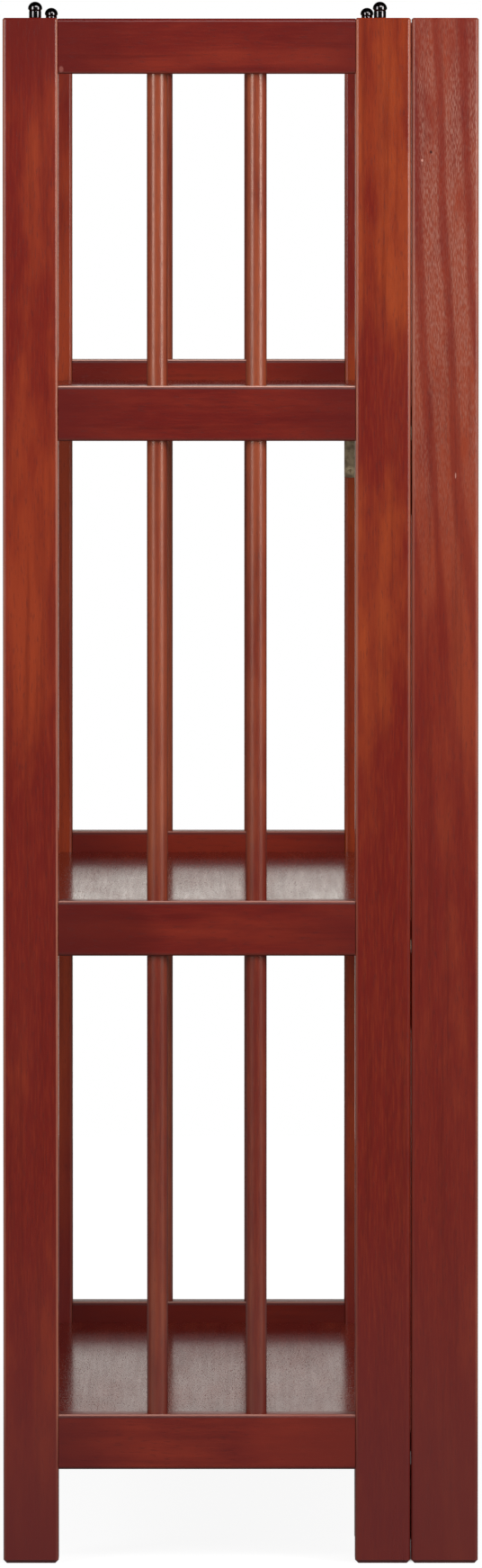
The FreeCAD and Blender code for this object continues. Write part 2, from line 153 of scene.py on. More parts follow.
class Finish:
    """Node tree of a material or of the world."""

    def __init__(self, owner):
        owner.use_nodes = True
        self.owner = owner
        self.tree = owner.node_tree
        self.tree.nodes.clear()

    def node(self, kind, settings, inputs, output=0):
        """Adds a node: its type, its settings, then what its sockets hold or are linked to."""
        made = self.tree.nodes.new("ShaderNode" + kind)
        for name, value in settings.items():
            setattr(made, name, value)
        for name, value in inputs.items():
            if isinstance(value, Value):
                self.tree.links.new(value.socket, made.inputs[name])
            else:
                made.inputs[name].default_value = value
        return Value(self, made.outputs[output]) if made.outputs else None

    def maths(self, operation, *values):
        return self.node("Math", {"operation": operation}, dict(enumerate(values)))

    def blend(self, share, first, second):
        """Colour between two others."""
        return self.node("Mix", {"data_type": "RGBA"}, {0: share, 6: first, 7: second}, 2)

    def place(self, stretch=(1, 1, 1), shift=(0, 0, 0), turn=(0, 0, 0)):
        """Position on the piece, shrunk along the axes that a pattern is stretched in."""
        return self.node("Mapping", {}, {"Vector": self.node("TexCoord", {}, {}, "Object"),
                                         "Location": shift, "Rotation": turn, "Scale": stretch})

    def noise(self, where, scale, detail=2.0, rough=0.5):
        return self.node("TexNoise", {}, {"Vector": where, "Scale": scale, "Detail": detail,
                                          "Roughness": rough})

    def parts(self, where):
        """The three parts of a vector."""
        split = self.node("SeparateXYZ", {}, {"Vector": where})
        return [Value(self, part) for part in split.socket.node.outputs]

    def normal(self):
        """The surface's direction along each of the piece's axes."""
        return self.parts(self.node("TexCoord", {}, {}, "Normal"))

    def rounding(self):
        """0 on flat faces, rising over rounded and chamfered edges."""
        x, y, z = (abs(part) for part in self.normal())
        return 1 - x.maths("MAXIMUM", y).maths("MAXIMUM", z)

    def bump(self, height, depth, strength=1.0):
        return self.node("Bump", {}, {"Height": height, "Distance": depth, "Strength": strength})

    def shaded(self, inputs):
        surface = self.node("BsdfPrincipled", {}, inputs)
        self.node("OutputMaterial", {}, {"Surface": surface})
        return self.owner


def new_finish(name):
    return Finish(bpy.data.materials.new(name))


def colour(red, green, blue):
    return red, green, blue, 1.0


def mixed(tone, red, green, blue):
    """A tone with each of its parts made stronger or weaker."""
    return colour(red * tone[0], green * tone[1], blue * tone[2])


def scaled(tone, factor):
    return mixed(tone, factor, factor, factor)


# --- Wood finishes

WORN_AND_HIGHLIT_TONE = colour(0.54, 0.205, 0.125)       # long edges rubbed through the stain, and a painted highlight on their rounding
CREST_HIGHLIGHT_TONE = colour(0.72, 0.42, 0.34)        # painted highlight: thin pale line along the rails' upper edges
SHEEN_HAZE_TONE = colour(0.285, 0.092, 0.056)      # pale haze of unfilled pores, and a painted sheen of light from above
PORE_GLINT_TONE = colour(0.360, 0.158, 0.118)    # the pores themselves, pale with painted glints of light

# Heights between which one look passes into the next
FOOT_ZONE = (0.02, 0.24)                     # dull foot of the uprights
FOOT_WEAR_AND_HIGHLIGHT_ZONE = (0.06, 0.11)                # edges hardly rubbed or highlit below
SEAM_ZONE = (0.30, 0.80)                     # edges in the seam neither rubbed nor highlit below
LOW_WEAR_AND_HIGHLIGHT_ZONE = (0.38, 0.56)                 # edges less rubbed and highlit below, where low_wear_and_highlight says so
LOW_LEFT_SHADE_ZONE = (0.10, 0.38)                 # painted shade: left-hand rails darker below
LEFT_LIGHT_ZONES = (0.10, 0.55), (0.72, 0.84)      # painted light: left-hand side warmer, so brighter, between
PORES_AND_SHEEN_ZONES = (0.55, 0.86), (0.91, 0.96)     # open pores and painted sheen between
CREST_HIGHLIGHT_ZONE = (0.45, 0.70)                    # painted highlight on the rails' upper edges stronger above
TOP_RAIL_ZONE = (0.945, 0.955)               # top rails' upper edges, above, have no painted highlight, painted shade or wear

# Upward parts of the normal between which a band of a rail's rounded edge begins and ends: the painted highlight
# along its crest, and the painted shade below it
CREST_HIGHLIGHT_BAND = (0.61, 0.73), (0.95, 0.99)
UNDER_SHADE_BAND = (0.04, 0.14), (0.54, 0.64)

SOAKED_LENGTH = 0.075        # of the darker ends of a board
SEAM_WIDTH = (3.0 * MM, 7.0 * MM)


def between(value, rise, fall):
    """0, then 1 after the rise, then 0 again after the fall."""
    return value.stepped(*rise) * (1 - value.stepped(*fall))


def stained_wood(name, grain, deep, warm, pith, lean, ring, figure, pores_and_sheen=0.0, gloss=0.30,
                 ends=None, parts=(), wear_and_highlight=0.15, low_wear_and_highlight=1.0, shine=0.40, coat=0.20, lines=0.0,
                 blemishes=(), rim=0.0, tint=(1, 1, 1)):
    """Red-brown stain and satin varnish.

    grain: axis that the boards run along. deep, warm: the stain's two tones.
    pith, lean, ring: place, tilt and width of the rings. figure: how much they show.
    pores_and_sheen: how far the upper part has pale unfilled pores with a painted sheen and
    painted glints of the light from above. gloss: the varnish's roughness. ends: places of the
    boards' two ends, where the stain has soaked in darker.
    parts: stretches that are warmer or, below 0, redder: (side, middle, half length, amount),
    with side 1 for the right of the bookcase and -1 for the left.
    wear_and_highlight: how far the long edges on the outside are rubbed pale, which also paints a
    highlight on their rounding. low_wear_and_highlight: the share of that in the lower half.
    shine: specular level. coat: weight of the clear top layer.
    lines: how much brush lines along the grain vary the gloss.
    blemishes: marks on the right-hand piece, (y, z, half width, half height, share, tone).
    rim: how much darker a turned piece is made towards its outline, as painted shade. tint: colour of the shine.
    """
    finish = new_finish(name)

    def run(length, shift=(0, 0, 0)):
        """Position with features that are length times as long along the grain."""
        return finish.place([1 / length if axis == grain else 1 for axis in range(3)], shift)

    place = finish.parts(finish.place())
    height = place[Z]

    soft = finish.noise(run(5.0), 27.0, 2.0)
    small = finish.noise(run(3.2), 80.0, 3.0)
    warmth = soft * 0.60 + small * 0.40
    for side, middle, half, amount in parts:
        part = (1 - abs(place[grain] - middle).stepped(0.3 * half, 1.5 * half)) * amount
        warmth = warmth + part * (place[X] * side).stepped(-0.05, 0.05)
    # Painted light: the left-hand boards made warmer, so brighter, over the middle heights
    if grain != X:
        on_left = 1 - place[X].stepped(-0.30, -0.10)
        rise, fall = LEFT_LIGHT_ZONES
        warmth = warmth + on_left * height.stepped(*rise) * (0.24 - height.stepped(*fall) * 0.22)
    warmth = warmth.stepped(0.37, 0.68)
    wander = finish.noise(run(7.0), 18.0, 2.0)
    rings = finish.node(
        "TexWave", {"wave_type": "RINGS", "rings_direction": "XYZ"[grain], "wave_profile": "SIN"},
        {"Vector": finish.place(shift=pith, turn=lean), "Scale": math.tau / (20 * ring),
         "Distortion": 0.0, "Phase Offset": wander * 14.0}, 1)
    bands = rings.stepped(0.50, 1.0)
    streaks = finish.noise(run(40.0), 250.0, 3.0, 0.6)
    fibres = finish.noise(run(16.0), 1000.0, 3.0, 0.6)
    pores = finish.noise(run(8.0, (0.7, 0.3, 0.5)), 1100.0, 1.0).stepped(0.60, 0.70)
    marks = finish.node("TexVoronoi", {}, {"Vector": run(3.0), "Scale": 19.0}).stepped(0.022, 0.012)
    normal = finish.normal()
    cut_ends = abs(normal[grain]).stepped(0.85, 0.97)
    across = [abs(part) for axis, part in enumerate(normal) if axis != grain]

    outside = 0.3 + 0.7 * abs(place[X]).stepped(OUTER_EDGES - LONG_EDGE, OUTER_EDGES)
    outside = outside * (0.25 + 0.75 * height.stepped(*FOOT_WEAR_AND_HIGHLIGHT_ZONE))
    if grain == Y:
        below_top_rail = 1 - height.stepped(*TOP_RAIL_ZONE)
        outside = outside * below_top_rail
    in_seam = (1 - abs(place[Y] - SEAM).stepped(*SEAM_WIDTH)) * (1 - height.stepped(*SEAM_ZONE))
    # Long outer edges rubbed pale, partly a painted highlight on their rounding; less of both at the foot, in the
    # seam and, where asked, low down
    worn_and_highlit = across[0].maths("MINIMUM", across[1]).stepped(0.34, 0.62) * outside
    worn_and_highlit = worn_and_highlit * (1 - 0.85 * in_seam) * (0.5 + finish.noise(run(6.0), 110.0, 3.0))
    if low_wear_and_highlight < 1:
        worn_and_highlit = worn_and_highlit * (low_wear_and_highlight + (1 - low_wear_and_highlight) * height.stepped(*LOW_WEAR_AND_HIGHLIGHT_ZONE))

    stain = finish.blend(warmth, deep, warm)
    stain = finish.blend(bands * figure, stain, mixed(deep, 0.90, 0.72, 0.85))
    stain = finish.blend(streaks.stepped(0.48, 0.72) * 0.40, stain, scaled(deep, 0.62))
    stain = finish.blend(fibres.stepped(0.42, 0.72) * 0.20, stain, scaled(warm, 1.30))
    stain = finish.blend(pores * 0.34, stain, scaled(deep, 0.50))
    if ends:
        first, last = ends
        inset = (place[grain] - first).maths("MINIMUM", last - place[grain])
        soaked = 1 - (inset + (soft - 0.5) * 0.08).stepped(0.0, SOAKED_LENGTH)
        stain = finish.blend(soaked * 0.70, stain, mixed(deep, 0.72, 0.80, 1.0))
    if grain == Z:
        foot = 1 - height.stepped(*FOOT_ZONE)
        stain = finish.blend(foot * 0.75, stain, mixed(deep, 0.78, 1.60, 2.7))
    # Pale pores, with a painted sheen and painted glints of the light from above, on the upper part
    if pores_and_sheen:
        rise, fall = PORES_AND_SHEEN_ZONES
        upper = height.stepped(*rise) * (1 - 0.5 * height.stepped(*fall))
        pore_glints = finish.noise(run(10.0, (0.2, 0.9, 0.4)), 2900.0, 0.0).stepped(0.47, 0.62)
        patch = finish.noise(run(4.0, (0.5, 0.1, 0.2)), 60.0, 2.0).stepped(0.22, 0.50)
        sheen_haze = upper * patch * (1 - 0.8 * bands)
        stain = finish.blend(sheen_haze * pores_and_sheen * 0.32, stain, SHEEN_HAZE_TONE)
        stain = finish.blend(sheen_haze * pore_glints * pores_and_sheen * 0.80, stain, PORE_GLINT_TONE)
    dull = 0.0
    if grain == Y:
        # Painted shade on the left-hand rails low down
        low_left_shade = on_left * (1 - height.stepped(*LOW_LEFT_SHADE_ZONE))
        stain = finish.blend(low_left_shade * 0.55, stain, scaled(deep, 0.45))
        # Painted shade: the band of a rail's rounded upper edge just below the painted highlight is darkened and
        # dulled
        under = between(normal[Z], *UNDER_SHADE_BAND) * below_top_rail
        stain = finish.blend(under * 0.70, stain, scaled(deep, 0.35))
        dull = under * 0.30
    stain = finish.blend(marks * 0.7, stain, scaled(deep, 0.35))
    stain = finish.blend(cut_ends * 0.5, stain, scaled(deep, 0.45))
    # Rubbed edges and painted edge highlight
    stain = finish.blend(worn_and_highlit * wear_and_highlight, stain, WORN_AND_HIGHLIT_TONE)
    # Painted highlight: a thin pale line along the rails' upper edges, stronger higher up
    if grain == Y:
        crest = between(normal[Z], *CREST_HIGHLIGHT_BAND) * below_top_rail
        stain = finish.blend(crest * (0.45 + 0.45 * height.stepped(*CREST_HIGHLIGHT_ZONE)), stain, CREST_HIGHLIGHT_TONE)
    for y, z, half_width, half_height, share, tone in blemishes:
        off = [(abs(place[axis] - middle) * (1 / half)).maths("POWER", 2.0)
               for axis, middle, half in ((Y, y, half_width), (Z, z, half_height))]
        inside = (1 - (off[0] + off[1]).stepped(0.4, 1.4)) * place[X].stepped(0.0, 0.1)
        stain = finish.blend(inside * share, stain, tone)
    # Painted shade: turned pieces darker towards their outline
    if rim:
        edge = finish.node("LayerWeight", {}, {"Blend": 0.5}, "Facing").stepped(0.50, 0.95)
        stain = finish.blend(edge * rim, stain, scaled(deep, 0.35))
        dull = edge * 0.30

    brushed = finish.noise(run(45.0, (0.1, 0.6, 0.3)), 300.0, 3.0, 0.6)
    relief = fibres * 0.5 - pores * 0.9 + streaks * 0.5
    return finish.shaded({
        "Base Color": stain,
        "Roughness": gloss + (soft - 0.5) * 0.14 + pores * 0.08 + (brushed - 0.5) * lines + dull,
        "Specular IOR Level": shine,
        "Specular Tint": colour(*tint),
        "Coat Weight": coat,
        "Coat Roughness": 0.12,
        "Normal": finish.bump(relief, 0.00006, 0.4),
    })


def bare_beech():
    finish = new_finish("bare_beech")
    place = finish.place()
    fibres = finish.noise(place, 900.0, 3.0)
    rays = finish.noise(place, 260.0, 2.0).stepped(0.5, 0.7)
    pale = finish.blend(fibres, colour(0.56, 0.38, 0.22), colour(0.70, 0.52, 0.34))
    return finish.shaded({"Base Color": finish.blend(rays * 0.4, pale, colour(0.44, 0.27, 0.14)),
                          "Roughness": 0.7, "Normal": finish.bump(fibres, 0.0001, 0.5)})


# --- Metal finishes

def black_nickel():
    """Glossy dark plating, with faint finger marks."""
    finish = new_finish("black_nickel")
    marks = finish.noise(finish.place(), 320.0, 3.0)
    return finish.shaded({
        "Base Color": finish.blend(marks.stepped(0.3, 0.7), colour(0.095, 0.089, 0.091),
                                   colour(0.140, 0.131, 0.133)),
        "Metallic": 1.0,
        "Roughness": 0.09 + marks * 0.06,
        "Normal": finish.bump(finish.noise(finish.place(), 1500.0, 2.0), 0.00002, 0.3),
    })


def aged_bronze(name, bright):
    """Antique plating: olive brown, darker in blotches, rubbed bright on the edges."""
    finish = new_finish(name)
    blotches = finish.noise(finish.place(), 190.0, 4.0, 0.6)
    grains = finish.noise(finish.place(), 1400.0, 3.0, 0.6)
    rub = finish.noise(finish.place((1, 1, 0.08)), 1100.0, 3.0, 0.6)
    plate = finish.blend(blotches.stepped(0.35, 0.65), colour(0.21, 0.150, 0.088),
                         colour(0.42 * bright, 0.33 * bright, 0.205 * bright))
    plate = finish.blend(grains.stepped(0.58, 0.75) * 0.5, plate, colour(0.055, 0.04, 0.026))
    plate = finish.blend(rub.stepped(0.60, 0.72) * 0.35, plate, colour(0.42, 0.33, 0.20))
    plate = finish.blend(finish.rounding().stepped(0.05, 0.3) * 0.5, plate, colour(0.46, 0.34, 0.22))
    return finish.shaded({
        "Base Color": plate,
        "Metallic": 0.45,
        "Roughness": 0.42 + blotches * 0.16,
        "Normal": finish.bump(grains * 0.6 + rub * 0.4, 0.00006, 0.6),
    })


def plain_steel():
    finish = new_finish("plain_steel")
    lines = finish.noise(finish.place((0.05, 1, 1)), 2600.0, 2.0)
    return finish.shaded({
        "Base Color": finish.blend(lines, colour(0.42, 0.41, 0.40), colour(0.60, 0.59, 0.57)),
        "Metallic": 1.0,
        "Roughness": 0.28 + lines * 0.14,
        "Normal": finish.bump(lines, 0.00003, 0.4),
    })


# --- Mesh tools

def vector(x, y, z):
    return Vector((x, y, z))


UP = vector(0, 0, 1)


def block(low, high):
    shape = bmesh.new()
    bmesh.ops.create_cube(shape, size=1)
    bmesh.ops.scale(shape, vec=high - low, verts=shape.verts)
    bmesh.ops.translate(shape, vec=(low + high) / 2, verts=shape.verts)
    return shape


def soften(shape, radius, steps, wanted):
    """Rounds the edges whose two ends are wanted, or chamfers them with one step."""
    edges = [e for e in shape.edges if wanted(*(v.co for v in e.verts))]
    bmesh.ops.bevel(shape, geom=edges, offset=radius, offset_type="OFFSET", affect="EDGES",
                    segments=steps, profile=0.5, material=-1)


def runs_along(axis):
    """Test for an edge that runs along an axis."""
    return lambda a, b: abs((a - b).normalized()[axis]) > 0.99


def lies_at(axis, *places):
    """Test for an edge that lies square to an axis, at one of some places along it."""
    return lambda a, b: any(abs(a[axis] - p) < TOUCH and abs(b[axis] - p) < TOUCH for p in places)


def bar(low, high, along):
    shape = block(low, high)
    soften(shape, LONG_EDGE, LONG_EDGE_STEPS, runs_along(along))
    return shape


def turned(profile, start, direction, steps=TURNED_STEPS):
    """Shape turned about a line from (radius, distance along the line) points."""
    shape = bmesh.new()
    verts = [shape.verts.new((radius, 0, along)) for radius, along in profile]
    edges = [shape.edges.new(pair) for pair in zip(verts, verts[1:])]
    bmesh.ops.spin(shape, geom=verts + edges, cent=(0, 0, 0), axis=(0, 0, 1), dvec=(0, 0, 0),
                   angle=math.tau, steps=steps, use_merge=True)
    bmesh.ops.remove_doubles(shape, verts=shape.verts, dist=1e-7)
    bmesh.ops.recalc_face_normals(shape, faces=shape.faces)
    turn = UP.rotation_difference(direction).to_matrix().to_4x4()
    bmesh.ops.transform(shape, matrix=Matrix.Translation(start) @ turn, verts=shape.verts)
    return shape


def arc(centre, radius, start, end, steps):
    """(radius, along) points of an arc round a place on the axis, angles in degrees."""
    angles = [math.radians(start + (end - start) * i / steps) for i in range(steps + 1)]
    return [(radius * math.cos(a), centre + radius * math.sin(a)) for a in angles]


def joined(shapes):
    """One bmesh that holds several, which are used up."""
    whole = bmesh.new()
    for shape in shapes:
        mesh = bpy.data.meshes.new("part")
        shape.to_mesh(mesh)
        shape.free()
        whole.from_mesh(mesh)
        bpy.data.meshes.remove(mesh)
    return whole


def loose(shape, name):
    """Object that holds a bmesh, which is used up."""
    mesh = bpy.data.meshes.new(name)
    shape.to_mesh(mesh)
    shape.free()
    thing = bpy.data.objects.new(name, mesh)
    bpy.context.scene.collection.objects.link(thing)
    return thing


def combined(shape, tool, how):
    """Boolean of two bmeshes, which are used up."""
    body, cutter = loose(shape, "body"), loose(tool, "tool")
    change = body.modifiers.new("change", "BOOLEAN")
    change.operation, change.object, change.solver = how, cutter, "EXACT"
    bpy.context.view_layer.update()
    mesh = bpy.data.meshes.new_from_object(body.evaluated_get(bpy.context.evaluated_depsgraph_get()))
    result = bmesh.new()
    result.from_mesh(mesh)
    for thing in (body, cutter):
        used = thing.data
        bpy.data.objects.remove(thing)
        bpy.data.meshes.remove(used)
    bpy.data.meshes.remove(mesh)
    return result


def copied(shape, move=Vector(), mirror=None):
    """Copy of a bmesh, mirrored in one axis and then moved."""
    copy = shape.copy()
    if mirror is not None:
        bmesh.ops.scale(copy, vec=[-1 if i == mirror else 1 for i in range(3)], verts=copy.verts)
        bmesh.ops.reverse_faces(copy, faces=copy.faces)
    bmesh.ops.translate(copy, vec=move, verts=copy.verts)
    return copy


def solids_of(node):
    """(lowest corner, highest corner) of each separate solid in a node."""
    shape = bmesh.new()
    shape.from_mesh(frame["nodes"][node].data)
    bmesh.ops.remove_doubles(shape, verts=shape.verts, dist=1e-6)
    waiting, boxes = set(shape.verts), []
    while waiting:
        group, edge_of_group = set(), [waiting.pop()]
        while edge_of_group:
            vert = edge_of_group.pop()
            group.add(vert)
            for edge in vert.link_edges:
                other = edge.other_vert(vert)
                if other in waiting:
                    waiting.remove(other)
                    edge_of_group.append(other)
        boxes.append(tuple(vector(*(pick(v.co[i] for v in group) for i in range(3)))
                           for pick in (min, max)))
    shape.free()
    return sorted(boxes, key=lambda box: tuple(round(c, 4) for c in box[0]))


bodies = {node: body for body, nodes in frame["record"]["behaviour"]["bodies"].items()
          for node in nodes}


def fit_out(node, shape, finish, sharp=35.0):
    """Makes the piece that stands for a node."""
    piece = loose(shape, node + "_made")
    piece.data.materials.append(finish)
    piece.data.shade_smooth()
    piece.data.set_sharp_from_angle(angle=math.radians(sharp))
    shading = piece.modifiers.new("flat_faces", "WEIGHTED_NORMAL")
    shading.keep_sharp = True
    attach(piece, bodies[node])
    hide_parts(node)
    return piece


# --- Finishes of the wooden pieces

POST_LOW, POST_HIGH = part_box("right_rear_post")
POST_ENDS = (POST_LOW.z, POST_HIGH.z)
SEAM = 0.1063                                # y of the gap behind the rear posts
OUTER_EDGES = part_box("right_top_rail")[1].x - 1.3 * LONG_EDGE   # an edge is outside beyond it
SIDE_RAIL_ENDS = (-0.120, 0.085)             # a little past the rails' own ends

DEEP = colour(0.168, 0.0100, 0.0054)
WARM = colour(0.286, 0.0350, 0.0084)
RAIL_DEEP = colour(0.140, 0.0085, 0.0058)
RAIL_WARM = colour(0.225, 0.0205, 0.0080)
BARE = colour(0.62, 0.30, 0.24)
STILE_MARKS = ((0.1185, 0.8815, 0.8 * MM, 1.0 * MM, 0.9, scaled(DEEP, 0.3)),
               (0.1131, 0.8764, 0.6 * MM, 0.9 * MM, 0.9, BARE),
               (0.1340, 0.6800, 0.4 * MM, 1.8 * MM, 0.6, BARE))
POST_MARKS = ((-0.1250, 0.6350, 4.5 * MM, 36.0 * MM, 0.3, scaled(DEEP, 0.8)),
              (-0.1195, 0.5850, 4.5 * MM, 36.0 * MM, 0.3, scaled(DEEP, 0.8)))
RAIL_MARKS = ((-0.1118, 0.9330, 1.4 * MM, 2.1 * MM, 0.35, colour(0.42, 0.15, 0.12)),
              (-0.0900, 0.3920, 40.0 * MM, 22.0 * MM, 0.50, scaled(RAIL_DEEP, 0.65)),
              (0.0450, 0.0750, 45.0 * MM, 22.0 * MM, 0.40, scaled(RAIL_WARM, 1.15)))

front_post_wood = stained_wood(
    "stained_front_posts", Z, DEEP, WARM, ring=0.024, figure=0.55,
    pith=(-0.280, 0.190, 0), lean=(0.03, 0.01, 0), ends=POST_ENDS, wear_and_highlight=0.65, blemishes=POST_MARKS,
    parts=((1, 0.62, 0.10, 0.14), (1, 0.37, 0.13, -0.22), (1, 0.87, 0.10, -0.08),
           (1, 0.95, 0.03, -0.12)))
rear_post_wood = stained_wood(
    "stained_rear_posts", Z, DEEP, colour(0.314, 0.0450, 0.0084), ring=0.028, figure=0.40,
    pith=(-0.300, -0.170, 0), lean=(-0.02, 0.01, 0), pores_and_sheen=0.04, wear_and_highlight=0.65, low_wear_and_highlight=0.35,
    parts=((1, 0.89, 0.13, 0.18), (1, 0.73, 0.05, -0.12), (1, 0.37, 0.16, -0.12),
           (1, 0.13, 0.07, -0.22), (-1, 0.87, 0.14, -0.26)))
stile_wood = stained_wood(
    "stained_stiles", Z, colour(0.176, 0.0114, 0.0056), colour(0.270, 0.0340, 0.0092),
    ring=0.0185, figure=0.55, pith=(-0.300, -0.020, 0), lean=(-0.07, 0.0, 0),
    pores_and_sheen=0.80, gloss=0.36, wear_and_highlight=0.40, blemishes=STILE_MARKS,
    parts=((1, 0.70, 0.16, 0.14), (1, 0.36, 0.08, -0.06), (1, 0.245, 0.06, -0.18),
           (1, 0.13, 0.12, -0.12)))
side_rail_wood = stained_wood(
    "stained_side_rails", Y, RAIL_DEEP, RAIL_WARM, ring=0.021, figure=0.35,
    pith=(-0.300, 0, -0.330), lean=(0.0, 0.01, 0.01), ends=SIDE_RAIL_ENDS, wear_and_highlight=0.10,
    blemishes=RAIL_MARKS)
back_rail_wood = stained_wood(
    "stained_back_rails", X, RAIL_DEEP, RAIL_WARM, ring=0.021, figure=0.35,
    pith=(0, -0.10, -0.30), lean=(0, 0, 0.01))
# On the right-hand spindles the parts paint light higher up and shade low down
spindle_wood = stained_wood(
    "stained_spindles", Z, colour(0.165, 0.0125, 0.0070), colour(0.315, 0.0580, 0.0200),
    ring=0.006, figure=0.30, pith=(-0.330, 0.030, 0), lean=(0.01, 0, 0),
    gloss=0.31, shine=1.00, coat=0.0, rim=0.75, tint=(1.0, 0.85, 0.72),
    parts=((1, 0.80, 0.32, 0.14), (1, 0.20, 0.22, -0.10)))
shelf_wood = stained_wood(
    "stained_shelves", X, RAIL_DEEP, colour(0.220, 0.0260, 0.0110), ring=0.017, figure=0.40,
    pith=(0, 0.30, -0.2), lean=(0, 0, 0.02), gloss=0.21, lines=0.11)
beech = bare_beech()
pin_black = black_nickel()
hinge_bronze = aged_bronze("aged_hinge_plate", 1.0)
screw_bronze = aged_bronze("aged_screw_plate", 1.35)
steel = plain_steel()


# --- Wooden pieces

def upright(node, finish, has_socket):
    """Post or stile. Under a post is the blind hole for a stacking pin."""
    low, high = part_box(node)
    shape = bar(low, high, Z)
    soften(shape, FOOT_CHAMFER, 1, lies_at(Z, low.z))
    soften(shape, TOP_CHAMFER, 1, lies_at(Z, high.z))
    if has_socket:
        pins = [box for box in solids_of(node.split("_")[0] + "_stacking_pins")
                if low.y < box[0].y < high.y]
        centre = (pins[0][0] + pins[0][1]) / 2
        mouth = SOCKET_RADIUS + SOCKET_MOUTH
        hole = turned([(0, -SOCKET_MOUTH), (mouth + SOCKET_MOUTH, -SOCKET_MOUTH),
                       (SOCKET_RADIUS, SOCKET_MOUTH), (SOCKET_RADIUS, SOCKET_DEPTH),
                       (0, SOCKET_DEPTH)], vector(centre.x, centre.y, 0), UP)
        shape = combined(shape, hole, "DIFFERENCE")
    fit_out(node, shape, finish)


def rail(node, finish, along):
    low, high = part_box(node)
    fit_out(node, bar(low, high, along), finish)


def spindle(node):
    low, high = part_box(node)
    radius, length = (high.x - low.x) / 2, high.z - low.z
    foot = vector((low.x + high.x) / 2, (low.y + high.y) / 2, low.z)
    fit_out(node, turned([(0, 0), (radius, 0), (radius, length), (0, length)], foot, UP),
            spindle_wood)


def cleat(node):
    """Bar whose two edges away from the rail are rounded."""
    low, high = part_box(node)
    free = lies_at(X, low.x if high.x > 0 else high.x)
    shape = block(low, high)
    soften(shape, CLEAT_EDGE, LONG_EDGE_STEPS, lambda a, b: runs_along(Y)(a, b) and free(a, b))
    soften(shape, SMALL_EDGE, 2, lies_at(Y, low.y, high.y))
    fit_out(node, shape, side_rail_wood)


def shelf(tier):
    """Board with a rounded front edge and a half-round rear edge, about which it turns."""
    node = tier + "_shelf"
    low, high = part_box(node)
    radius = (high.z - low.z) / 2
    shape = block(low, high)
    soften(shape, SHELF_EDGE, 6, lambda a, b: runs_along(X)(a, b) and a.y < 0)
    soften(shape, radius - TOUCH, 12, lambda a, b: runs_along(X)(a, b) and lies_at(Y, high.y)(a, b))
    soften(shape, SHELF_END_CHAMFER, 2, lies_at(X, low.x, high.x))
    fit_out(node, shape, shelf_wood)


# --- Metal pieces

def screw(head, shank, length, direction):
    """Countersunk screw with a cross recess, its head at the origin."""
    edge = HEAD_RIM * head
    shape = turned([(0, 0), (head - edge, 0), (head, edge), (shank, head - shank),
                    (shank, length - SCREW_POINT), (0, length)], Vector(), UP, SMALL_STEPS)
    reach, width, depth = RECESS_REACH * head, RECESS_WIDTH * head, RECESS_DEPTH * head
    arms = []
    for half_x, half_y in ((reach, width), (width, reach)):
        arm = block(vector(-half_x, -half_y, -depth), vector(half_x, half_y, depth))
        foot = [v for v in arm.verts if v.co.z > 0]
        bmesh.ops.scale(arm, vec=(RECESS_FOOT, RECESS_FOOT, 1), verts=foot)
        arms.append(arm)
    shape = combined(shape, combined(arms[0], arms[1], "UNION"), "DIFFERENCE")
    bmesh.ops.rotate(shape, cent=Vector(), matrix=UP.rotation_difference(direction).to_matrix(),
                     verts=shape.verts)
    return shape


def screws(node, shank):
    """Screws of a node, heads towards the middle of the bookcase, their recesses at all angles."""
    boxes = solids_of(node)
    low, high = boxes[0]
    head, length = (high.z - low.z) / 2, high.x - low.x
    inward = -1 if low.x > 0 else 1
    model = screw(head, shank, length, vector(-inward, 0, 0))
    shapes = []
    for number, (low, high) in enumerate(boxes):
        shape = model.copy()
        bmesh.ops.rotate(shape, cent=Vector(), verts=shape.verts,
                         matrix=Matrix.Rotation(math.radians(number * RECESS_TURN), 3, "X"))
        start = vector(low.x if inward < 0 else high.x, (low.y + high.y) / 2, (low.z + high.z) / 2)
        bmesh.ops.translate(shape, vec=start, verts=shape.verts)
        shapes.append(shape)
    model.free()
    fit_out(node, joined(shapes), screw_bronze)


def knuckle_span(number, height, grow):
    """Low and high end of a knuckle: grow is +1 for the notch beside it, -1 for itself."""
    step, gap = height / KNUCKLES, grow * KNUCKLE_GAP / 2
    return (number * step - (gap if number else 0),
            (number + 1) * step + (gap if number < KNUCKLES - 1 else 0))


def leaf(own, height):
    """Right-hand hinge leaf about a vertical axis at the origin, its plate towards +Y. The plate
    ends in fingers, and each is rolled round the axis until it almost meets the plate again.
    """
    shape = block(vector(BORE_RADIUS, 0, 0), vector(BARREL_RADIUS, LEAF_WIDTH, height))
    soften(shape, LEAF_CORNER, 6, lambda a, b: runs_along(X)(a, b) and a.y > LEAF_WIDTH / 2)
    for number in range(KNUCKLES):
        if number not in own:
            low, high = knuckle_span(number, height, 1)
            low = low if number else -CUT_MARGIN
            high = high if number < KNUCKLES - 1 else height + CUT_MARGIN
            notch = block(vector(BORE_RADIUS - CUT_MARGIN, -CUT_MARGIN, low),
                          vector(BARREL_RADIUS + CUT_MARGIN, BARREL_RADIUS + NOTCH_GAP, high))
            shape = combined(shape, notch, "DIFFERENCE")
    open_angle = math.acos((BORE_RADIUS - ROLL_GAP) / BARREL_RADIUS)
    fingers = [f for f in shape.faces if all(abs(v.co.y) < TOUCH for v in f.verts)]
    for finger in fingers:
        bmesh.ops.spin(shape, geom=[finger, *finger.edges, *finger.verts], cent=(0, 0, 0),
                       axis=(0, 0, -1), dvec=(0, 0, 0), angle=math.tau - open_angle,
                       steps=round(TURNED_STEPS * (1 - open_angle / math.tau)), use_merge=False)
    bmesh.ops.recalc_face_normals(shape, faces=shape.faces)
    return shape


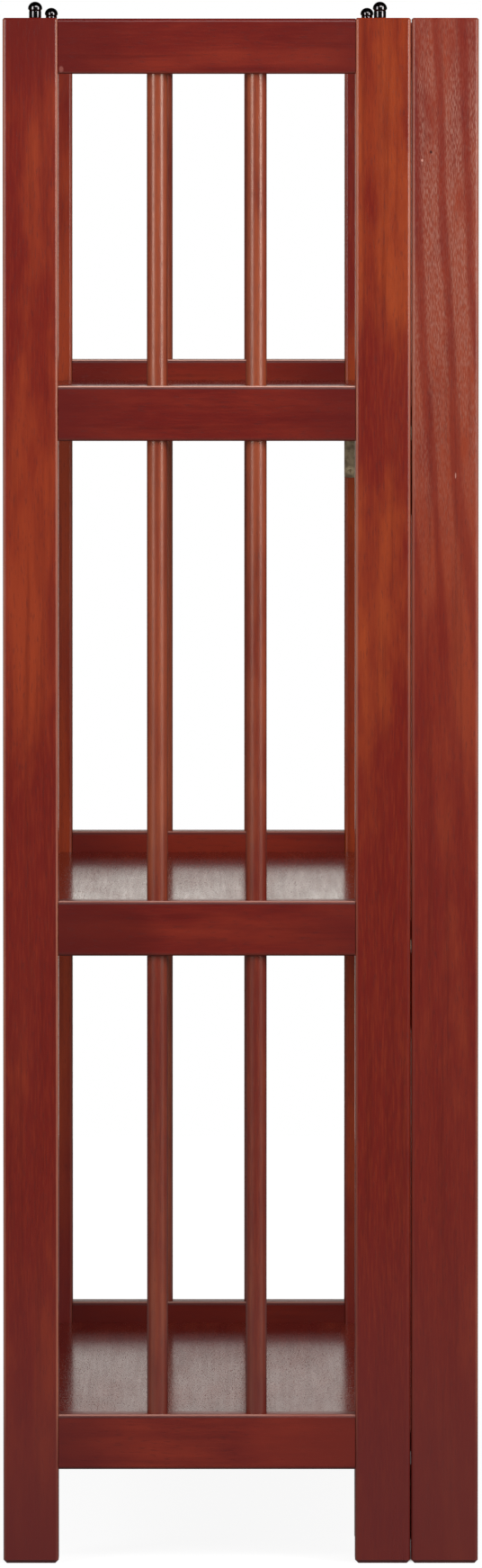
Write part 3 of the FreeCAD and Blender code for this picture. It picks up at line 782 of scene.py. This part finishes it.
def leaf_with_holes(own, height, head, shank):
    """Leaf with its countersunk holes. The cutters start clear of the plate."""
    shape = leaf(own, height)
    hole_head, hole_shank = head + SCREW_ROOM, shank + SCREW_ROOM
    for away in (LEAF_SCREW_AXIS, LEAF_WIDTH - LEAF_SCREW_EDGE):
        for up in (LEAF_SCREW_END, height - LEAF_SCREW_END):
            hole = turned([(0, -shank), (hole_head + shank, -shank), (hole_shank, head - shank),
                           (hole_shank, 2 * head), (0, 2 * head)],
                          vector(BORE_RADIUS, away, up), vector(1, 0, 0), SMALL_STEPS)
            shape = combined(shape, hole, "DIFFERENCE")
    return shape


def hinge_leaves(node, own, toward, head, shank):
    """Leaves of one side's post (toward = -1) or stile (+1), their edges broken before shading."""
    boxes = solids_of(node)
    height = boxes[0][1].z - boxes[0][0].z
    shape = leaf_with_holes(own, height, head, shank)
    if toward < 0:
        shape = copied(shape, mirror=Y)
    side = 1 if boxes[0][0].x > 0 else -1
    if side < 0:
        shape = copied(shape, mirror=X)
    joint = next(j for j in frame["joints"] if j["name"] == node.split("_")[0] + "_side_fold")
    axis_x, axis_y, _ = joint["pos_m"]
    piece = fit_out(node, joined([copied(shape, vector(axis_x, axis_y, low.z)) for low, _ in boxes]),
                    hinge_bronze)
    edges = piece.modifiers.new("broken_edges", "BEVEL")
    edges.width = LEAF_BREAK
    edges.segments = 2
    edges.limit_method = "ANGLE"
    edges.angle_limit = math.radians(LEAF_BREAK_ANGLE)
    piece.modifiers.move(1, 0)


def domed(tip, rim, steps=8):
    """Points of a dome in a (radius, along) profile, from its rim to its tip on the axis."""
    rise = tip - rim[1]
    centre = tip - (rise ** 2 + rim[0] ** 2) / (2 * rise)
    start = math.degrees(math.atan2(rim[1] - centre, rim[0]))
    end = 90 if rise > 0 else -90
    return arc(centre, abs(tip - centre), start, end, steps)


def hinge_pins(node):
    """Pins with a domed head at both ends."""
    shapes = []
    for low, high in solids_of(node):
        head = (high.x - low.x) / 2
        length = high.z - low.z - 2 * HINGE_PIN_HEAD
        profile = domed(-HINGE_PIN_HEAD, (head, -HINGE_PIN_RIM))[::-1]
        profile += [(head, 0), (HINGE_PIN_RADIUS, 0), (HINGE_PIN_RADIUS, length), (head, length)]
        profile += domed(length + HINGE_PIN_HEAD, (head, length + HINGE_PIN_RIM))
        start = vector((low.x + high.x) / 2, (low.y + high.y) / 2, low.z + HINGE_PIN_HEAD)
        shapes.append(turned(profile, start, UP, SMALL_STEPS))
    fit_out(node, joined(shapes), hinge_bronze)


def stacking_pins(node):
    """Ball heads on stems. Below its stem a pin goes on as a thinner shank in the post."""
    band_low, band_high = PIN_BAND
    shapes = []
    for low, high in solids_of(node):
        head = (high.x - low.x) / 2
        length = high.z - low.z - PIN_TOP
        profile = [(0, -length), (PIN_SHANK, -length), (PIN_SHANK, 0), (PIN_STEM - PIN_BREAK, 0),
                   (PIN_STEM, PIN_BREAK), (PIN_STEM, PIN_STEM_TOP - PIN_BREAK),
                   (PIN_STEM - PIN_BREAK, PIN_STEM_TOP)]
        profile += [(head - (head - PIN_STEM) * math.cos(math.radians(a)),
                     PIN_STEM_TOP + (band_low - PIN_STEM_TOP) * math.sin(math.radians(a)))
                    for a in (30, 60)]
        profile += [(head, band_low)] + domed(PIN_TOP, (head, band_high), 14)
        start = vector((low.x + high.x) / 2, (low.y + high.y) / 2, high.z - PIN_TOP)
        shapes.append(turned(profile, start, UP, BALL_STEPS))
    fit_out(node, joined(shapes), pin_black, sharp=50.0)


def shelf_pins(node):
    shapes = []
    for low, high in solids_of(node):
        radius, length = (high.z - low.z) / 2, high.x - low.x
        start = vector(low.x, (low.y + high.y) / 2, (low.z + high.z) / 2)
        inner = radius - SMALL_EDGE
        shapes.append(turned([(0, 0), (inner, 0), (radius, SMALL_EDGE), (radius, length - SMALL_EDGE),
                              (inner, length), (0, length)], start, vector(1, 0, 0), SMALL_STEPS))
    fit_out(node, joined(shapes), steel)


for side in SIDES:
    upright(side + "_front_post", front_post_wood, True)
    upright(side + "_rear_post", rear_post_wood, True)
    upright(side + "_stile", stile_wood, False)
    for level in LEVELS:
        rail(side + "_" + level + "_rail", side_rail_wood, Y)
    for tier in TIERS:
        spindle(side + "_" + tier + "_front_spindle")
        spindle(side + "_" + tier + "_rear_spindle")
        cleat(side + "_" + tier + "_cleat")
    screws(side + "_cleat_screws", CLEAT_SCREW_SHANK)
    screws(side + "_post_leaf_screws", LEAF_SCREW_SHANK)
    screws(side + "_stile_leaf_screws", LEAF_SCREW_SHANK)
    hinge_leaves(side + "_post_leaves", range(1, KNUCKLES, 2), -1, LEAF_SCREW_HEAD, LEAF_SCREW_SHANK)
    hinge_leaves(side + "_stile_leaves", range(0, KNUCKLES, 2), 1, LEAF_SCREW_HEAD, LEAF_SCREW_SHANK)
    hinge_pins(side + "_hinge_pins")
    stacking_pins(side + "_stacking_pins")
for level in LEVELS:
    rail(level + "_back_rail", back_rail_wood, X)
for tier in TIERS:
    shelf(tier)
    shelf_pins(tier + "_shelf_pins")
for node in ("left_rail_dowels", "right_rail_dowels", "back_rail_dowels"):
    for slot in frame["nodes"][node].material_slots:
        slot.material = beech


# --- Stage: floor, surroundings, lamps and camera

FLOOR_RADIUS = 2.6
FLOOR_LIFT = (0.92, 1.0)     # brightness that the floor has to the eye over its own, near and far
FLOOR_NEAR = (0.45, 1.50)    # distances from the middle over which it passes from near to far
FLOOR_IN_GLOSS = 0.16        # the same in what shines
FLOOR_TONE = colour(0.14, 0.14, 0.14)

# Dark shade under the back frame, which shows only from low down
SHADE_LINE = SEAM + 4.7 * MM         # y of its middle
SHADE_WIDTH = (6.0 * MM, 15.0 * MM)  # distances from there over which it fades
SHADE_ENDS = (0.325, 0.345)          # distances from X = 0 over which it fades
SHADE_VIEW = (0.80, 0.86)            # how flat the view is where it sets in
SHADE_SHARE = 0.97
SHADE_TONE = colour(0.02, 0.008, 0.006)

# What shines reflects a white backdrop towards -X and a dim room everywhere else
BACKDROP_TONE = colour(1.32, 1.30, 1.20)
ROOM_TONE = colour(0.28, 0.19, 0.19)
BACKDROP_EDGE = (-0.990, -0.955)     # x of the directions over which it ends
BACKDROP_TOP = (0.070, 0.135)        # upward part of the directions over which its tone ends

EYE = vector(7.677, -0.0087, 0.9299)
AIM = vector(0.3493, 0.0002, 0.6833)
FOCAL_LENGTH = 270.25        # millimetres, like the sensor's width
SENSOR_WIDTH = 36.0
LENS_SHIFT = -0.2


def floor():
    shape = bmesh.new()
    bmesh.ops.create_circle(shape, cap_ends=True, radius=FLOOR_RADIUS, segments=96)
    piece = loose(shape, "floor")
    finish = new_finish("pale_floor")
    seen = finish.node("LightPath", {}, {}, "Is Camera Ray")
    away = finish.node("VectorMath", {"operation": "LENGTH"}, {0: finish.place()}, "Value")
    lift = finish.blend(away.stepped(*FLOOR_NEAR), *(colour(part, part, part) for part in FLOOR_LIFT))
    x, y, _ = finish.parts(finish.place())
    under = 1 - abs(y - SHADE_LINE).stepped(*SHADE_WIDTH)
    under = under * (1 - abs(x).stepped(*SHADE_ENDS))
    low_view = finish.node("LayerWeight", {}, {"Blend": 0.5}, "Facing").stepped(*SHADE_VIEW)
    lift = finish.blend(under * low_view * SHADE_SHARE, lift, SHADE_TONE)
    mirrored = finish.blend(Value(finish, seen.socket.node.outputs["Is Glossy Ray"]),
                            colour(0, 0, 0), colour(FLOOR_IN_GLOSS, FLOOR_IN_GLOSS, FLOOR_IN_GLOSS))
    piece.data.materials.append(finish.shaded({
        "Base Color": FLOOR_TONE, "Roughness": 0.9, "Specular IOR Level": 0.0,
        "Emission Color": finish.blend(seen, mirrored, lift),
        "Emission Strength": 1.0}))


def surroundings():
    """White to the eye all round. Pale walls give a low fill light, and what shines reflects the
    backdrop and the room.
    """
    bpy.context.scene.world = bpy.data.worlds.new("studio")
    room = Finish(bpy.context.scene.world)
    seen = room.node("LightPath", {}, {}, "Is Camera Ray")
    rays = seen.socket.node.outputs
    shine = Value(room, rays["Is Glossy Ray"]).maths("MAXIMUM", Value(room, rays["Is Transmission Ray"]))
    rightward, _, upward = room.parts(room.node("TexCoord", {}, {}, "Generated"))
    backdrop = 1 - rightward.stepped(*BACKDROP_EDGE)
    tint = room.blend(upward.stepped(*BACKDROP_TOP), BACKDROP_TONE, ROOM_TONE)
    tint = room.blend(shine, colour(1, 1, 1), tint)
    walls = 1 - abs(upward).stepped(0.10, 0.55)
    glow = room.node("Mix", {"data_type": "FLOAT"},
                     {0: shine, 2: 0.12 + 0.56 * walls, 3: 0.03 + 0.97 * backdrop})
    glow = room.node("Mix", {"data_type": "FLOAT"}, {0: seen, 2: glow, 3: 1.0})
    light = room.node("Background", {}, {"Color": tint, "Strength": glow})
    room.node("OutputWorld", {}, {"Surface": light})


def softbox(name, place, aim, width, height, glow):
    """Rectangular lamp. Its brightness, glow, doesn't depend on its size."""
    lamp = bpy.data.lights.new(name, "AREA")
    lamp.shape, lamp.size, lamp.size_y = "RECTANGLE", width, height
    lamp.energy = glow * math.pi * width * height
    thing = bpy.data.objects.new(name, lamp)
    thing.location = place
    thing.rotation_euler = (aim - place).to_track_quat("-Z", "Y").to_euler()
    bpy.context.scene.collection.objects.link(thing)


def camera():
    lens = bpy.data.cameras.new("camera")
    lens.lens, lens.sensor_width, lens.shift_y = FOCAL_LENGTH, SENSOR_WIDTH, LENS_SHIFT
    lens.clip_start, lens.clip_end = 0.1, 100.0
    thing = bpy.data.objects.new("camera", lens)
    thing.location = EYE
    thing.rotation_euler = (AIM - EYE).to_track_quat("-Z", "Y").to_euler()
    bpy.context.scene.collection.objects.link(thing)
    bpy.context.scene.camera = thing


floor()
surroundings()
softbox("key", place=vector(2.60, 0.80, 3.00), aim=vector(0.34, 0.0, 1.35),
        width=2.00, height=1.40, glow=4.5)
softbox("left_strip", place=vector(1.90, -1.58, 1.53), aim=vector(0.34, -0.02, 1.12),
        width=0.75, height=1.74, glow=6.1)
softbox("right_panel", place=vector(1.70, 1.72, 1.53), aim=vector(0.34, -0.02, 1.12),
        width=0.72, height=1.74, glow=8.2)
camera()
bpy.context.scene.view_settings.view_transform = "Standard"
